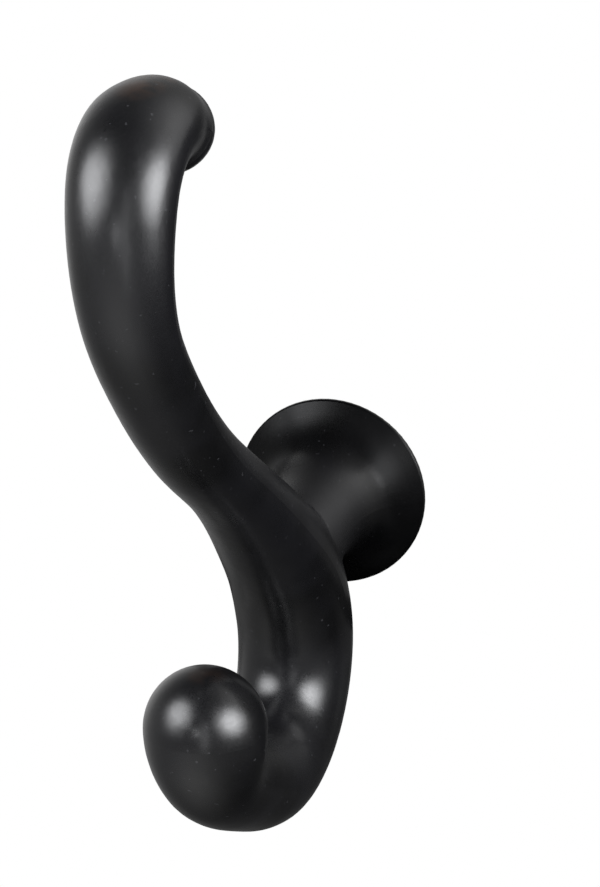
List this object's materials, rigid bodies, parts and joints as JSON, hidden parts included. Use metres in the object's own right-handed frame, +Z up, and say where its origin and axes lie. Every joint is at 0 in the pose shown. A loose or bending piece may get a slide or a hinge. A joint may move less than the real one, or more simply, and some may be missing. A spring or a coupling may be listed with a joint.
{
  "type": "robe hook",
  "caption": "Wall hook for robes and coats: a black S-shaped rod with a curled upper arm and a knobbed lower hook, on a trumpet-shaped round foot.",
  "frame": {"origin": "middle of the foot's back face, at the mouth of the tapped hole", "axes": "+Y into the wall, along the tapped hole and out of its mouth, so the hook stands out towards -Y; +Z up, towards the curled arm; X across"},
  "size_m": [0.032, 0.0991, 0.1274],
  "materials": {
    "black_finish": "satin black"
  },
  "bodies": {
    "root": {"hook": "black_finish"}
  },
  "joints": []
}
